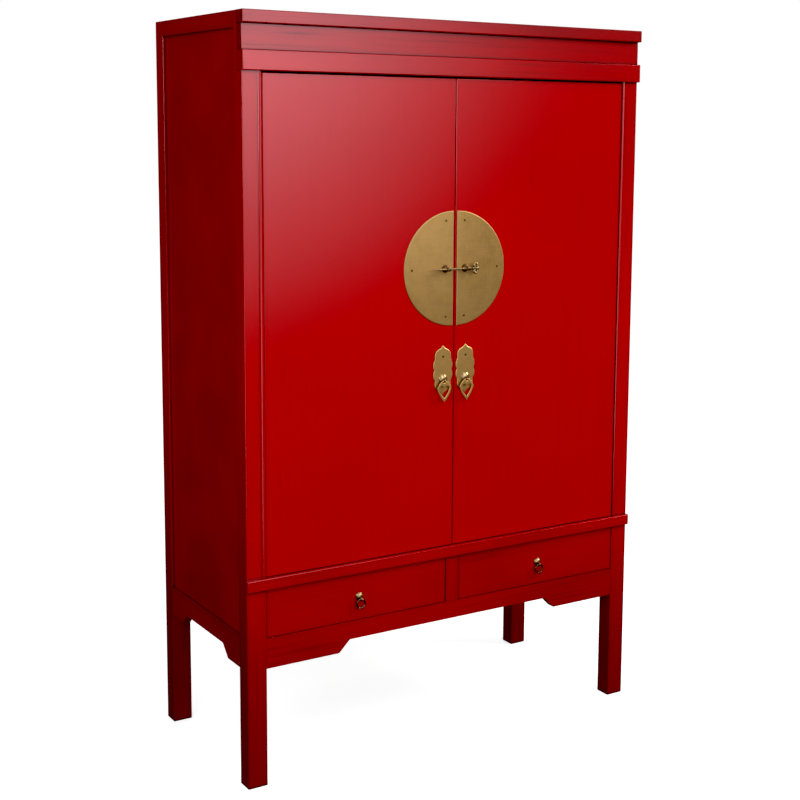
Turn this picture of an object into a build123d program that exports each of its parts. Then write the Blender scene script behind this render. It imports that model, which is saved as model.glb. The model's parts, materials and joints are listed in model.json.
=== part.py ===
from build123d import *
from math import atan2, cos, degrees, radians, sin
import os

# A Chinese wedding cabinet: a post-and-rail case in red lacquer on straight legs, with two
# pivoting doors over two drawers. Two half-round brass plates and a pin through a pair of studs
# lock the doors. Millimetres; X to the right, Y to the back, Z up; the origin is on the floor
# under the middle of the whole cabinet, its brass included.

os.makedirs("parts", exist_ok=True)

# ---- driving dimensions: case --------------------------------------------------------------

cabinet_width = 1100.0        # across the posts
cabinet_height = 1750.0
carcass_depth = 486.0         # front of the front posts to back of the back posts
brass_reach = 21.0            # how far the lock studs stand ahead of the posts
edge_ease = 2.5               # radius worn on the edges of the frame
foot_bevel = 1.25
small_ease = 1.5              # radius on the edges of doors and drawer fronts

post_width = 48.0
post_depth = 43.0
rail_thickness = 22.0
tenon_thickness = 10.0
tenon_length = 20.0
short_tenon_length = 15.0     # where the tenons of two rails come close inside a post
tenon_margin = 8.0            # shoulder above and below each tenon
waist_tenon_margin = 5.0

cornice_reach = 12.0          # how far each moulding stands ahead of the posts
head_reach = 10.0
waist_reach = 9.0
cornice_overhang = 2.0        # past the posts at each end
moulding_overhang = 1.5
cornice_bottom = 1722.0
frieze_bottom = 1666.0
head_bottom = 1622.0
waist_top = 493.5
waist_bottom = 466.5
waist_rail_depth = 40.0

bead_width = 10.5             # raised bead along the door side of each front post
bead_rise = 3.0
bead_round = 2.4

apron_top = 351.0
side_apron_top = 354.0
apron_bottom = 279.0
apron_step = 28.5             # rise of the lower edge between its two low ends
front_low_end = 188.0         # length of each low end, from the post
side_low_end = 64.0
step_round = 7.0

panel_thickness = 10.0
panel_recess = 7.5
groove_depth = 6.0
groove_play = 0.5
back_panel_thickness = 8.0
back_panel_recess = 8.0
side_rail_height = 36.0
back_bottom_height = 50.0
top_board_thickness = 14.0
top_rebate = 8.0

floor_thickness = 12.0
floor_rebate = 12.0
floor_rail_thickness = 24.0
shelf_thickness = 18.0
shelf_tops = {"lower_shelf": 880.0, "upper_shelf": 1262.0}
shelf_front = 47.0            # behind the front of the posts, clear of the doors as they swing
shelf_back_play = 1.0
cleat_size = 20.0

# ---- driving dimensions: doors -------------------------------------------------------------

door_set_back = 1.0
door_thickness = 20.0
door_side_gap = 1.4
door_middle_gap = 2.0
door_top = 1618.0
door_bottom = 495.0
pivot_inset = 30.0            # from the outer edge of a door to its pivot axis
pivot_set_back = 8.0          # from the face of a door to its pivot axis
pivot_radius = 5.0
pivot_play = 0.05
pivot_depth = 24.0            # length of each pivot inside the door
top_pivot_tip = 1635.0
bottom_pivot_tip = 482.0
top_pivot_end_play = 1.0
bottom_pivot_end_play = 0.5
batten_height = 38.0
batten_proud = 12.0
batten_sunk = 6.0
batten_flare = 3.0
batten_from_end = 180.0
batten_side = 40.0

# ---- driving dimensions: drawers -----------------------------------------------------------

drawer_gap = 1.2              # all round each drawer front
divider_width = 37.0
divider_tenon_width = 20.0
divider_tenon_depth = 8.0
drawer_front_thickness = 18.0
drawer_side_top = 456.0
drawer_side_thickness = 12.0
drawer_side_play = 1.0
drawer_length = 430.0
drawer_lap = 6.0              # wood left ahead of the half-blind dovetails
drawer_groove = 5.0           # how deep the bottom board is let in
drawer_board_thickness = 6.0
drawer_board_height = 8.0     # underside of the bottom board above the edge of the sides
dovetail_count = 3
dovetail_flare = 2.5
runner_thickness = 16.0
runner_width = 47.0
runner_play = 0.5
guide_top = 375.0
kicker_thickness = 15.0

# ---- driving dimensions: brass -------------------------------------------------------------

plate_thickness = 2.0
rim_width = 1.6               # bevelled rim round each plate
rim_depth = 0.9

lock_radius = 137.0
lock_height = 1172.0
lock_split = 5.0              # from the meeting of the doors to the flat side of a half plate
stud_spacing = 28.0           # from the meeting of the doors to each stud
stud_radius = 5.0
stud_flange = 9.0
stud_flange_edge = 1.2
stud_neck = 6.0               # length over which the flange curves in to the stem
stud_neck_curve = 6.5
stud_dome = 1.6
stud_bore = 3.4

pin_reach = 14.5              # axis of the lock pin ahead of the posts
pin_tip_x = -73.0
pin_head_x = 39.0
pin_radius = 2.7
pin_tip_radius = 0.9
pin_taper_length = 34.0
collar_radius = 4.4
collar_length = 2.4
neck_radius = 3.2
knob_radius = 5.2
knob_x = 15.5                 # from the collar to the middle of the knob
scroll_x = 10.5               # from the collar to the middle of each scroll
scroll_spread = 7.2
scroll_radius = 4.4
scroll_wire = 2.8
scroll_start = -30.0          # angles round a scroll, from the knob's side
scroll_turn = 270.0

pull_x = 32.0                 # from the meeting of the doors to the middle of a door pull
pull_middle = 929.3           # height of the middle of the pull plate
plate_waist = 24.1            # the outline of the plate, from its middle
plate_lobe = (27.1, 12.2)
plate_side = (22.7, 24.5)
plate_shoulder = (22.7, 37.0)
plate_shoulder_curve = 17.0
plate_throat = (11.0, 50.5)
plate_throat_curve = 24.0
plate_tip = 60.7

pull_boss_height = 907.5
pull_boss_radius = 12.0
pull_boss_rise = 4.8
pull_eye_reach = 8.9          # from the door face to the axis of the drop
pull_eye_radius = 3.2
pull_eye_wire = 0.9
pull_pivot = 905.0            # height of the axis that the drop hangs from

drop_thickness = 2.0
drop_bevel_width = 1.1
drop_bevel_depth = 0.7
drop_hole = 2.6
drop_top = 1.3                # the outline of the drop, from its axis
drop_shoulder = (12.0, -6.5)
drop_side = (20.2, -18.8)
drop_flank = (13.0, -35.5)
drop_tip = -52.7
heart_dip = -19.5             # the outline of the heart cut in it
heart_lobe = (8.6, -13.8)
heart_side = (14.3, -20.0)
heart_flank = (8.9, -32.0)
heart_tip = -43.0

ring_boss_height = 408.5
ring_boss_radius = 10.0
ring_boss_rise = 6.0
ring_eye_reach = 8.4
ring_eye_radius = 3.9
ring_eye_wire = 1.2
ring_pivot = 403.5
ring_radius = 10.8
ring_wire = 2.0

# ---- planes worked out from the driving dimensions -----------------------------------------

front = brass_reach - (carcass_depth + brass_reach) / 2
back = front + carcass_depth
outer = cabinet_width / 2
inner = outer - post_width                 # inner faces of the posts
post_back = front + post_depth             # back of the front posts
post_front = back - post_depth             # front of the back posts
rail_back = front + rail_thickness
side_rail_inner = outer - rail_thickness
panel_outer = outer - panel_recess
panel_inner = panel_outer - panel_thickness
side_rail_bottom = cabinet_height - side_rail_height
top_board_bottom = cabinet_height - top_board_thickness
back_panel_back = back - back_panel_recess
back_panel_front = back_panel_back - back_panel_thickness
waist_rail_back = front + waist_rail_depth
floor_rail_front = back_panel_front - floor_rail_thickness
floor_bottom = waist_top - floor_thickness
door_face = front + door_set_back
door_back = door_face + door_thickness
door_outer = inner - door_side_gap
pivot_x = door_outer - pivot_inset
pivot_y = door_face + pivot_set_back
drawer_face = front + door_set_back
drawer_outer = inner - drawer_gap
drawer_inner = divider_width / 2 + drawer_gap
drawer_middle = (drawer_outer + drawer_inner) / 2
drawer_top = waist_bottom - drawer_gap
drawer_bottom = apron_top + drawer_gap
brass_face = door_face - plate_thickness
pin_y = front - pin_reach

waist_z = (waist_bottom, waist_top)
apron_z = (apron_bottom, apron_top)
side_apron_z = (apron_bottom, side_apron_top)
side_rail_z = (side_rail_bottom, cabinet_height)
back_bottom_z = (side_apron_top - back_bottom_height, side_apron_top)
top_board_z = (top_board_bottom, cabinet_height)
floor_z = (floor_bottom, waist_top)

cross_x = (-inner, inner)
apron_y = (front, rail_back)
waist_rail_y = (front, waist_rail_back)
back_rail_y = (back - rail_thickness, back)
floor_rail_y = (floor_rail_front, back_panel_front)


# ---- shapes used again and again -----------------------------------------------------------


def slab(x, y, z):
    """A box between three pairs of limits."""
    limits = (x, y, z)
    middles = [(low + high) / 2 for low, high in limits]
    return Pos(*middles) * Box(*[high - low for low, high in limits])


def ease_face(solid, axis, radius):
    """Round the edges all round the first face of a solid along one axis."""
    return fillet(solid.faces().sort_by(axis)[0].edges(), radius)


def upright(y_plane, x=0.0, z=0.0):
    """A drawing plane that faces the front, with its origin at a point of the cabinet."""
    return Plane(origin=(x, y_plane, z), x_dir=(1, 0, 0), z_dir=(0, -1, 0))


def bevelled(outline, plane, thickness, width, depth):
    """A plate that stands on a plane, with a rim that slopes in to its front face."""
    flat = thickness - depth
    slope = degrees(atan2(width, depth))
    plate = extrude(outline, flat) + extrude(Pos(0, 0, flat) * outline, depth, taper=slope)
    return plane * plate


def turned(profile, x, y, z):
    """A round piece turned about an axis that points out of the front."""
    axis_plane = Plane(origin=(x, y, z), x_dir=(1, 0, 0), z_dir=(0, 0, -1))
    return revolve(axis_plane * profile, Axis((x, y, z), (0, -1, 0)))


def dome_curve(radius, rise):
    """Radius of the sphere that a dome of one radius and rise is cut from."""
    return (radius**2 + rise**2) / (2 * rise)


def stepped_outline(low_length, full_length, top):
    """A rail drawn from its left end, with a lower edge that steps up between two low ends."""
    rise_end = low_length + apron_step
    high = apron_bottom + apron_step
    sketch = Polygon(
        (0, top),
        (0, apron_bottom),
        (low_length, apron_bottom),
        (rise_end, high),
        (full_length - rise_end, high),
        (full_length - low_length, apron_bottom),
        (full_length, apron_bottom),
        (full_length, top),
        align=None,
    )
    between_ends = [v for v in sketch.vertices() if 0 < v.X < full_length]
    return fillet(between_ends, step_round)


def keep(name, solid):
    export_step(solid, f"parts/{name}.step")


def keep_pair(name, left_solid):
    """Write a piece of the left half, and its mirror image for the right half."""
    keep(f"left_{name}", left_solid)
    keep(f"right_{name}", mirror(left_solid, about=Plane.YZ))


# ---- tenons, each used twice: joined to its rail and cut out of the post --------------------


def cross_tenon(y, z, margin=tenon_margin, length=tenon_length):
    """Tenon at the left end of a rail that runs between two posts along X."""
    middle = sum(y) / 2
    return slab(
        (-inner - length, -inner),
        (middle - tenon_thickness / 2, middle + tenon_thickness / 2),
        (z[0] + margin, z[1] - margin),
    )


def side_tenons(z):
    """Tenons at the front and back ends of a rail of the left side, which runs along Y."""
    x_middle = -(outer + side_rail_inner) / 2
    x = (x_middle - tenon_thickness / 2, x_middle + tenon_thickness / 2)
    z_inside = (z[0] + tenon_margin, z[1] - tenon_margin)
    ends = (post_back - short_tenon_length, post_back), (post_front, post_front + short_tenon_length)
    return [slab(x, y, z_inside) for y in ends]


waist_tenon = cross_tenon(waist_rail_y, waist_z, waist_tenon_margin)
floor_tenon = cross_tenon(floor_rail_y, waist_z, waist_tenon_margin, short_tenon_length)
apron_tenon = cross_tenon(apron_y, apron_z)
back_top_tenon = cross_tenon(back_rail_y, side_rail_z)
back_bottom_tenon = cross_tenon(back_rail_y, back_bottom_z)
side_rail_tenons = side_tenons(side_rail_z)
side_apron_tenons = side_tenons(side_apron_z)


def both_ends(rail, tenon):
    return rail + tenon + mirror(tenon, about=Plane.YZ)


# ---- posts ---------------------------------------------------------------------------------

panel_z = (side_apron_top - groove_depth, side_rail_bottom + groove_depth)
panel_slot_z = (panel_z[0] - groove_play, panel_z[1])
panel_x = (-panel_outer, -panel_inner)
slot_depth = groove_depth + groove_play


def bare_post(y):
    """A post of the left side with its two outer edges rounded."""
    post = slab((-outer, -inner), y, (0, cabinet_height))
    outside_edges = post.edges().filter_by(Axis.Z).group_by(Axis.X)[0]
    return fillet(outside_edges, edge_ease)


def bead():
    """A raised bead beside the door, from the waist to the head, its two front corners rounded."""
    section = Polygon((0, 0), (bead_width, 0), (bead_width, bead_rise), (0, bead_rise), align=None)
    section = fillet(section.vertices().group_by(Axis.Y)[-1], bead_round)
    foot = Plane(origin=(-inner, front, waist_top), x_dir=(-1, 0, 0), z_dir=(0, 0, 1))
    return extrude(foot * section, head_bottom - waist_top)


def front_post():
    post = bare_post((front, post_back))
    # the three head boards run across the front of the posts, let in by their thickness
    post -= slab((-outer, -inner), (front, rail_back), (head_bottom, cabinet_height))
    post += bead()
    post -= slab(panel_x, (post_back - slot_depth, post_back), panel_slot_z)
    for cut in (waist_tenon, apron_tenon, side_rail_tenons[0], side_apron_tenons[0]):
        post -= cut
    return chamfer(post.faces().sort_by(Axis.Z)[0].edges(), foot_bevel)


def back_post():
    post = bare_post((post_front, back))
    post -= slab(panel_x, (post_front, post_front + slot_depth), panel_slot_z)
    post -= slab((-inner - slot_depth, -inner), (back_panel_front, back_panel_back), panel_slot_z)
    for cut in (back_top_tenon, back_bottom_tenon, floor_tenon):
        post -= cut
    for cut in (side_rail_tenons[1], side_apron_tenons[1]):
        post -= cut
    return chamfer(post.faces().sort_by(Axis.Z)[0].edges(), foot_bevel)


keep_pair("front_post", front_post())
keep_pair("back_post", back_post())

# ---- head, waist and apron across the front ------------------------------------------------

cornice_x = (-outer - cornice_overhang, outer + cornice_overhang)
moulding_x = (-outer - moulding_overhang, outer + moulding_overhang)
cornice = slab(cornice_x, (front - cornice_reach, rail_back), (cornice_bottom, cabinet_height))
keep("cornice", ease_face(cornice, Axis.Y, edge_ease))

frieze = slab((-outer, outer), (front, rail_back), (frieze_bottom, cornice_bottom))
keep("frieze_board", ease_face(frieze, Axis.Y, small_ease))

head_rail = slab(moulding_x, (front - head_reach, rail_back), (head_bottom, frieze_bottom))
head_rail = ease_face(head_rail, Axis.Y, edge_ease)
waist_rail = both_ends(slab(cross_x, waist_rail_y, waist_z), waist_tenon)
waist_rail -= slab(cross_x, (waist_rail_back - floor_rebate, waist_rail_back), floor_z)

socket_radius = pivot_radius + pivot_play
top_socket_depth = top_pivot_tip + top_pivot_end_play - head_bottom
bottom_socket_depth = waist_top - bottom_pivot_tip + bottom_pivot_end_play
for x in (-pivot_x, pivot_x):
    head_rail -= Pos(x, pivot_y, head_bottom) * Cylinder(socket_radius, 2 * top_socket_depth)
    waist_rail -= Pos(x, pivot_y, waist_top) * Cylinder(socket_radius, 2 * bottom_socket_depth)
keep("head_rail", head_rail)
keep("waist_rail", waist_rail)

waist_moulding = slab(moulding_x, (front - waist_reach, front), waist_z)
keep("waist_moulding", ease_face(waist_moulding, Axis.Y, edge_ease))

apron_outline = stepped_outline(front_low_end, 2 * inner, apron_top)
front_apron = extrude(upright(rail_back, -inner) * apron_outline, rail_thickness)
front_apron = both_ends(front_apron, apron_tenon)
divider = slab((-divider_width / 2, divider_width / 2), apron_y, (apron_top, waist_bottom))
rail_middle = sum(apron_y) / 2
divider_tenon = slab(
    (-divider_tenon_width / 2, divider_tenon_width / 2),
    (rail_middle - tenon_thickness / 2, rail_middle + tenon_thickness / 2),
    (apron_top - divider_tenon_depth, apron_top),
)
keep("front_apron", front_apron - divider_tenon)
keep("drawer_divider", divider + divider_tenon)

# ---- sides ---------------------------------------------------------------------------------

between_posts = (post_back, post_front)
side_panel = slab(panel_x, (post_back - groove_depth, post_front + groove_depth), panel_z)
keep_pair("side_panel", side_panel)

side_rail = slab((-outer, -side_rail_inner), between_posts, side_rail_z)
side_rail -= slab((-side_rail_inner - top_rebate, -side_rail_inner), between_posts, top_board_z)
side_outline = stepped_outline(side_low_end, post_front - post_back, side_apron_top)
side_plane = Plane(origin=(-side_rail_inner, post_back, 0), x_dir=(0, 1, 0), z_dir=(1, 0, 0))
side_apron = extrude(side_plane * side_outline, -rail_thickness)
for rail_tenon, low_tenon in zip(side_rail_tenons, side_apron_tenons):
    side_rail += rail_tenon
    side_apron += low_tenon
keep_pair("side_top_rail", side_rail - side_panel)
keep_pair("side_apron", side_apron - side_panel)

# ---- back ----------------------------------------------------------------------------------

back_panel_x = (-inner - groove_depth, inner + groove_depth)
back_panel = slab(back_panel_x, (back_panel_front, back_panel_back), panel_z)
keep("back_panel", back_panel)

back_top_rail = both_ends(slab(cross_x, back_rail_y, side_rail_z), back_top_tenon)
back_top_rail -= slab(cross_x, (back_rail_y[0], back_rail_y[0] + top_rebate), top_board_z)
keep("back_top_rail", back_top_rail - back_panel)

back_bottom_rail = both_ends(slab(cross_x, back_rail_y, back_bottom_z), back_bottom_tenon)
keep("back_bottom_rail", back_bottom_rail - back_panel)

floor_rail = both_ends(slab(cross_x, floor_rail_y, waist_z), floor_tenon)
floor_rail -= slab(cross_x, (floor_rail_front, floor_rail_front + floor_rebate), floor_z)
keep("back_floor_rail", floor_rail)

# ---- boards inside -------------------------------------------------------------------------


def notch_round_posts(board):
    for x in ((-outer, -inner), (inner, outer)):
        board -= slab(x, (front, post_back), (0, cabinet_height))
        board -= slab(x, (post_front, back), (0, cabinet_height))
    return board


top_x = side_rail_inner + top_rebate
top_y = (rail_back, back_rail_y[0] + top_rebate)
keep("top_board", notch_round_posts(slab((-top_x, top_x), top_y, top_board_z)))

board_x = panel_inner - groove_play
floor_y = (waist_rail_back - floor_rebate, floor_rail_front + floor_rebate)
keep("cupboard_floor", notch_round_posts(slab((-board_x, board_x), floor_y, floor_z)))

shelf_y = (front + shelf_front, back_panel_front - shelf_back_play)
cleat_x = (-panel_inner, -panel_inner + cleat_size)
cleats = []
for name, top in shelf_tops.items():
    underside = top - shelf_thickness
    keep(name, notch_round_posts(slab((-board_x, board_x), shelf_y, (underside, top))))
    cleat = slab(cleat_x, between_posts, (underside - cleat_size, underside))
    cleats += [cleat, mirror(cleat, about=Plane.YZ)]
keep("shelf_cleats", Compound(cleats))

# ---- drawer runners below the drawers and kickers above them -------------------------------

runner_z = (drawer_bottom - runner_play - runner_thickness, drawer_bottom - runner_play)
guide_z = (runner_z[1], guide_top)
runner_x = (-side_rail_inner, -side_rail_inner + runner_width)
middle_y = (rail_back, back_rail_y[0])
side_runner = slab(runner_x, between_posts, runner_z)
side_runner += slab((-inner, runner_x[1]), middle_y, runner_z)
side_runner += slab((runner_x[0], -drawer_outer), between_posts, guide_z)
middle_runner = slab((-runner_width, runner_width), middle_y, runner_z)
middle_runner += slab((-drawer_inner, drawer_inner), middle_y, guide_z)
keep("drawer_runners", Compound([side_runner, middle_runner, mirror(side_runner, about=Plane.YZ)]))

kicker_z = (waist_bottom, waist_bottom + kicker_thickness)
side_kicker = slab((-board_x, runner_x[1]), between_posts, kicker_z)
middle_kicker = slab((-runner_width, runner_width), (waist_rail_back, floor_rail_front), kicker_z)
keep("drawer_kickers", Compound([side_kicker, middle_kicker, mirror(side_kicker, about=Plane.YZ)]))

# ---- doors ---------------------------------------------------------------------------------

door_x = (-door_outer, -door_middle_gap / 2)


def door_batten(height):
    """A batten let into the back of the left door by a dovetail that runs its whole length."""
    half = batten_height / 2
    section = Polygon(
        (-batten_sunk, -half - batten_flare),
        (0, -half),
        (batten_proud, -half),
        (batten_proud, half),
        (0, half),
        (-batten_sunk, half + batten_flare),
        align=None,
    )
    start = (-door_outer + batten_side, door_back, height)
    length = door_x[1] - door_x[0] - 2 * batten_side
    return extrude(Plane(origin=start, x_dir=(0, 1, 0), z_dir=(1, 0, 0)) * section, length)


def door_pivot(low, high):
    return Pos(-pivot_x, pivot_y, (low + high) / 2) * Cylinder(pivot_radius, high - low)


leaf = slab(door_x, (door_face, door_back), (door_bottom, door_top))
leaf = ease_face(leaf, Axis.Y, small_ease)
battens = [door_batten(door_bottom + batten_from_end), door_batten(door_top - batten_from_end)]
pivots = [
    door_pivot(bottom_pivot_tip, door_bottom + pivot_depth),
    door_pivot(door_top - pivot_depth, top_pivot_tip),
]
for let_in in battens + pivots:
    leaf -= let_in
keep_pair("door_leaf", leaf)
keep_pair("door_battens", Compound(battens))
keep_pair("door_pivots", Compound(pivots))

# ---- brass: half-round lock plates, studs and pin ------------------------------------------

half_disc = Circle(lock_radius) - Pos(lock_radius, 0) * Rectangle(2 * lock_radius, 2 * lock_radius)
lock_plane = upright(door_face, -lock_split, lock_height)
keep_pair("lock_plate", bevelled(half_disc, lock_plane, plate_thickness, rim_width, rim_depth))


def lock_stud():
    """A turned stud with a flange at its foot and a domed end, bored across for the pin."""
    length = brass_face - (front - brass_reach)
    dome_edge = length - stud_dome
    outline = Curve() + [
        Polyline((0, 0), (stud_flange, 0), (stud_flange, stud_flange_edge)),
        RadiusArc((stud_flange, stud_flange_edge), (stud_radius, stud_neck), -stud_neck_curve),
        Line((stud_radius, stud_neck), (stud_radius, dome_edge)),
        RadiusArc((stud_radius, dome_edge), (0, length), -dome_curve(stud_radius, stud_dome)),
        Line((0, length), (0, 0)),
    ]
    stud = turned(make_face(outline), -stud_spacing, brass_face, lock_height)
    bore = Rot(0, 90, 0) * Cylinder(stud_bore, 4 * stud_radius)
    return stud - Pos(-stud_spacing, pin_y, lock_height) * bore


keep_pair("lock_stud", lock_stud())


def on_pin(shape, x, z=0.0):
    """Place a shape on the axis of the lock pin, or above it."""
    return Pos(x, pin_y, lock_height + z) * shape


def scroll():
    """The upper curl of the head: three quarters of a ring of round wire, its ends rounded."""
    centre = Vector(pin_head_x + scroll_x, pin_y, lock_height + scroll_spread)
    ends = []
    for degrees in (scroll_start, scroll_start + scroll_turn):
        outward = Vector(cos(radians(degrees)), 0, sin(radians(degrees)))
        ends.append(centre + outward * scroll_radius)
    across = Vector(-sin(radians(scroll_start)), 0, cos(radians(scroll_start)))
    section = Plane(origin=ends[0], z_dir=across) * Circle(scroll_wire)
    curl = revolve(section, Axis(centre, (0, -1, 0)), scroll_turn)
    for end in ends:
        curl += Pos(end) * Sphere(scroll_wire)
    return curl


def lock_pin():
    """A tapered pin whose head is a knob between two scrolls."""
    taper_end = pin_tip_x + pin_taper_length
    rod_end = pin_head_x + collar_length
    outline = Polyline(
        (pin_tip_x, 0),
        (pin_tip_x, pin_tip_radius),
        (taper_end, pin_radius),
        (rod_end, pin_radius),
        (rod_end, 0),
        close=True,
    )
    centre = (0, pin_y, lock_height)
    rod_plane = Plane(origin=centre, x_dir=(1, 0, 0), z_dir=(0, 0, 1))
    pin = revolve(rod_plane * make_face(outline), Axis(centre, (1, 0, 0)))
    along_x = Rot(0, 90, 0)
    pin += on_pin(along_x * Cylinder(collar_radius, collar_length), pin_head_x + collar_length / 2)
    pin += on_pin(along_x * Cylinder(neck_radius, knob_x), pin_head_x + knob_x / 2)
    pin += on_pin(Sphere(knob_radius), pin_head_x + knob_x)
    upper = scroll()
    return pin + upper + mirror(upper, about=Plane.XY.offset(lock_height))


keep("lock_pin", lock_pin())

# ---- brass: door pulls ---------------------------------------------------------------------


def cloud_plate():
    """The upper right quarter of the plate, drawn anticlockwise, mirrored across and down."""
    quarter = Curve() + [
        ThreePointArc((plate_waist, 0), plate_lobe, plate_side),
        Line(plate_side, plate_shoulder),
        RadiusArc(plate_shoulder, plate_throat, -plate_shoulder_curve),
        RadiusArc(plate_throat, (0, plate_tip), plate_throat_curve),
    ]
    upper = quarter + mirror(quarter, about=Plane.YZ)
    return make_face(upper + mirror(upper, about=Plane.XZ))


def heart_drop():
    """The flat drop: a pointed leaf pierced by a heart, with a small hole to hang it by."""
    rim = Curve() + [
        ThreePointArc((0, drop_top), drop_shoulder, drop_side),
        ThreePointArc(drop_side, drop_flank, (0, drop_tip)),
    ]
    heart = Curve() + [
        ThreePointArc((0, heart_dip), heart_lobe, heart_side),
        ThreePointArc(heart_side, heart_flank, (0, heart_tip)),
    ]
    leaf_face = make_face(rim + mirror(rim, about=Plane.YZ))
    heart_face = make_face(heart + mirror(heart, about=Plane.YZ))
    hole = Pos(0, -drop_top - drop_hole) * Circle(drop_hole)
    return leaf_face - heart_face - hole


def boss_with_eye(base, radius, rise, eye_reach, eye_z, eye_radius, wire):
    """A domed boss with an eye standing out of it, in a plane across the axis of what it holds."""
    x, base_y, boss_z = base
    outline = Curve() + [
        Polyline((0, rise), (0, 0), (radius, 0)),
        RadiusArc((radius, 0), (0, rise), -dome_curve(radius, rise)),
    ]
    boss = turned(make_face(outline), x, base_y, boss_z)
    eye = Pos(x, door_face - eye_reach, eye_z) * Rot(0, 90, 0) * Torus(eye_radius, wire)
    span = 2 * (eye_radius + wire)
    behind = slab((x - span, x + span), (base_y, base_y + span), (eye_z - span, eye_z + span))
    return boss + (eye - behind)


pull_plane = upright(door_face, -pull_x, pull_middle)
keep_pair("pull_plate", bevelled(cloud_plate(), pull_plane, plate_thickness, rim_width, rim_depth))

pull_base = (-pull_x, brass_face, pull_boss_height)
pull_boss = boss_with_eye(
    pull_base, pull_boss_radius, pull_boss_rise,
    pull_eye_reach, pull_pivot, pull_eye_radius, pull_eye_wire,
)
keep_pair("pull_boss", pull_boss)

drop_plane = upright(door_face - pull_eye_reach + drop_thickness / 2, -pull_x, pull_pivot)
drop = bevelled(heart_drop(), drop_plane, drop_thickness, drop_bevel_width, drop_bevel_depth)
keep_pair("pull_drop", drop)

# ---- drawers -------------------------------------------------------------------------------

outer_side_start = -drawer_outer + drawer_side_play
inner_side_end = -drawer_inner - drawer_side_play
outer_side_x = (outer_side_start, outer_side_start + drawer_side_thickness)
inner_side_x = (inner_side_end - drawer_side_thickness, inner_side_end)
front_back_y = drawer_face + drawer_front_thickness
drawer_end = drawer_face + drawer_length
back_root = drawer_end - drawer_side_thickness
board_bottom = drawer_bottom + drawer_board_height
board_z = (board_bottom, board_bottom + drawer_board_thickness)
side_z = (drawer_bottom, drawer_side_top)
back_z = (board_z[1], drawer_side_top)


def dovetails(x, root_y, tip_y, z):
    """Tails that widen from root to tip, evenly spaced up the end of a drawer side."""
    pitch = (z[1] - z[0]) / dovetail_count
    root_half = pitch / 4
    tip_half = root_half + dovetail_flare
    side_face = Plane(origin=(x[0], 0, 0), x_dir=(0, 1, 0), z_dir=(1, 0, 0))
    tails = []
    for k in range(dovetail_count):
        middle = z[0] + (k + 0.5) * pitch
        tail = Polygon(
            (root_y, middle - root_half),
            (tip_y, middle - tip_half),
            (tip_y, middle + tip_half),
            (root_y, middle + root_half),
            align=None,
        )
        tails.append(extrude(side_face * tail, x[1] - x[0], dir=(1, 0, 0)))
    return tails


drawer_front_x = (-drawer_outer, -drawer_inner)
drawer_front = slab(drawer_front_x, (drawer_face, front_back_y), (drawer_bottom, drawer_top))
drawer_front = ease_face(drawer_front, Axis.Y, small_ease)
drawer_back = slab((outer_side_x[0], inner_side_x[1]), (back_root, drawer_end), back_z)
board_ends = (outer_side_x[1] - drawer_groove, inner_side_x[0] + drawer_groove)
bottom_board = slab(board_ends, (front_back_y - drawer_groove, drawer_end), board_z)

for name, x in (("drawer_outer_side", outer_side_x), ("drawer_inner_side", inner_side_x)):
    side = slab(x, (front_back_y, back_root), side_z)
    side += slab(x, (back_root, drawer_end), (side_z[0], back_z[0]))
    for tail in dovetails(x, front_back_y, drawer_face + drawer_lap, side_z):
        side += tail
        drawer_front -= tail
    for tail in dovetails(x, back_root, drawer_end, back_z):
        side += tail
        drawer_back -= tail
    keep_pair(name, side - bottom_board)
keep_pair("drawer_front", drawer_front - bottom_board)
keep_pair("drawer_back", drawer_back)
keep_pair("drawer_bottom", bottom_board)

# ---- brass: drawer rings -------------------------------------------------------------------

ring_base = (-drawer_middle, drawer_face, ring_boss_height)
ring_boss = boss_with_eye(
    ring_base, ring_boss_radius, ring_boss_rise,
    ring_eye_reach, ring_pivot, ring_eye_radius, ring_eye_wire,
)
keep_pair("ring_boss", ring_boss)

ring_centre = Pos(-drawer_middle, drawer_face - ring_eye_reach, ring_pivot - ring_radius)
keep_pair("drawer_ring", ring_centre * Rot(90, 0, 0) * Torus(ring_radius, ring_wire))
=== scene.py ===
"""A Chinese wedding cabinet in red lacquer with antique brass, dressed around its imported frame."""

import json
import math
import random
from typing import NamedTuple

import bmesh
import bpy
from bpy.props import FloatProperty, FloatVectorProperty, PointerProperty
from mathutils import Matrix, Vector


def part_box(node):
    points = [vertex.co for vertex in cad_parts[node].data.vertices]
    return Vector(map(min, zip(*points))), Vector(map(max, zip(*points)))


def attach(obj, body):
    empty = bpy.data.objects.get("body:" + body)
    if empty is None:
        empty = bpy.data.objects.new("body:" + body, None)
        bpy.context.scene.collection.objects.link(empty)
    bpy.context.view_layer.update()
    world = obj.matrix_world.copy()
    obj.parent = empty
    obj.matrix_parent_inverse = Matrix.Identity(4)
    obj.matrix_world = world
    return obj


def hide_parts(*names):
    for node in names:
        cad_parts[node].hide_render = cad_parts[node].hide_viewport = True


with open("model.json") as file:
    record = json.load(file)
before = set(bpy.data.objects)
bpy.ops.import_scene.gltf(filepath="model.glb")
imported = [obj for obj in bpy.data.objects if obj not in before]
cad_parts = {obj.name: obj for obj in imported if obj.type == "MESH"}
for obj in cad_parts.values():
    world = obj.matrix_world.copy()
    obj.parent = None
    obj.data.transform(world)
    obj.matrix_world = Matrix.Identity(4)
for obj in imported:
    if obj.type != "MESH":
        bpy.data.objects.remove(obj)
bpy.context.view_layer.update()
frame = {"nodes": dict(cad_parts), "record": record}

bl_info = {
    "name": "Wedding Cabinet",
    "version": (1, 0, 0),
    "blender": (4, 5, 0),
    "location": "View3D > Sidebar > Cabinet",
    "description": "Dresses a red lacquer wedding cabinet with its boards, brass and studio",
    "category": "Object",
}

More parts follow.
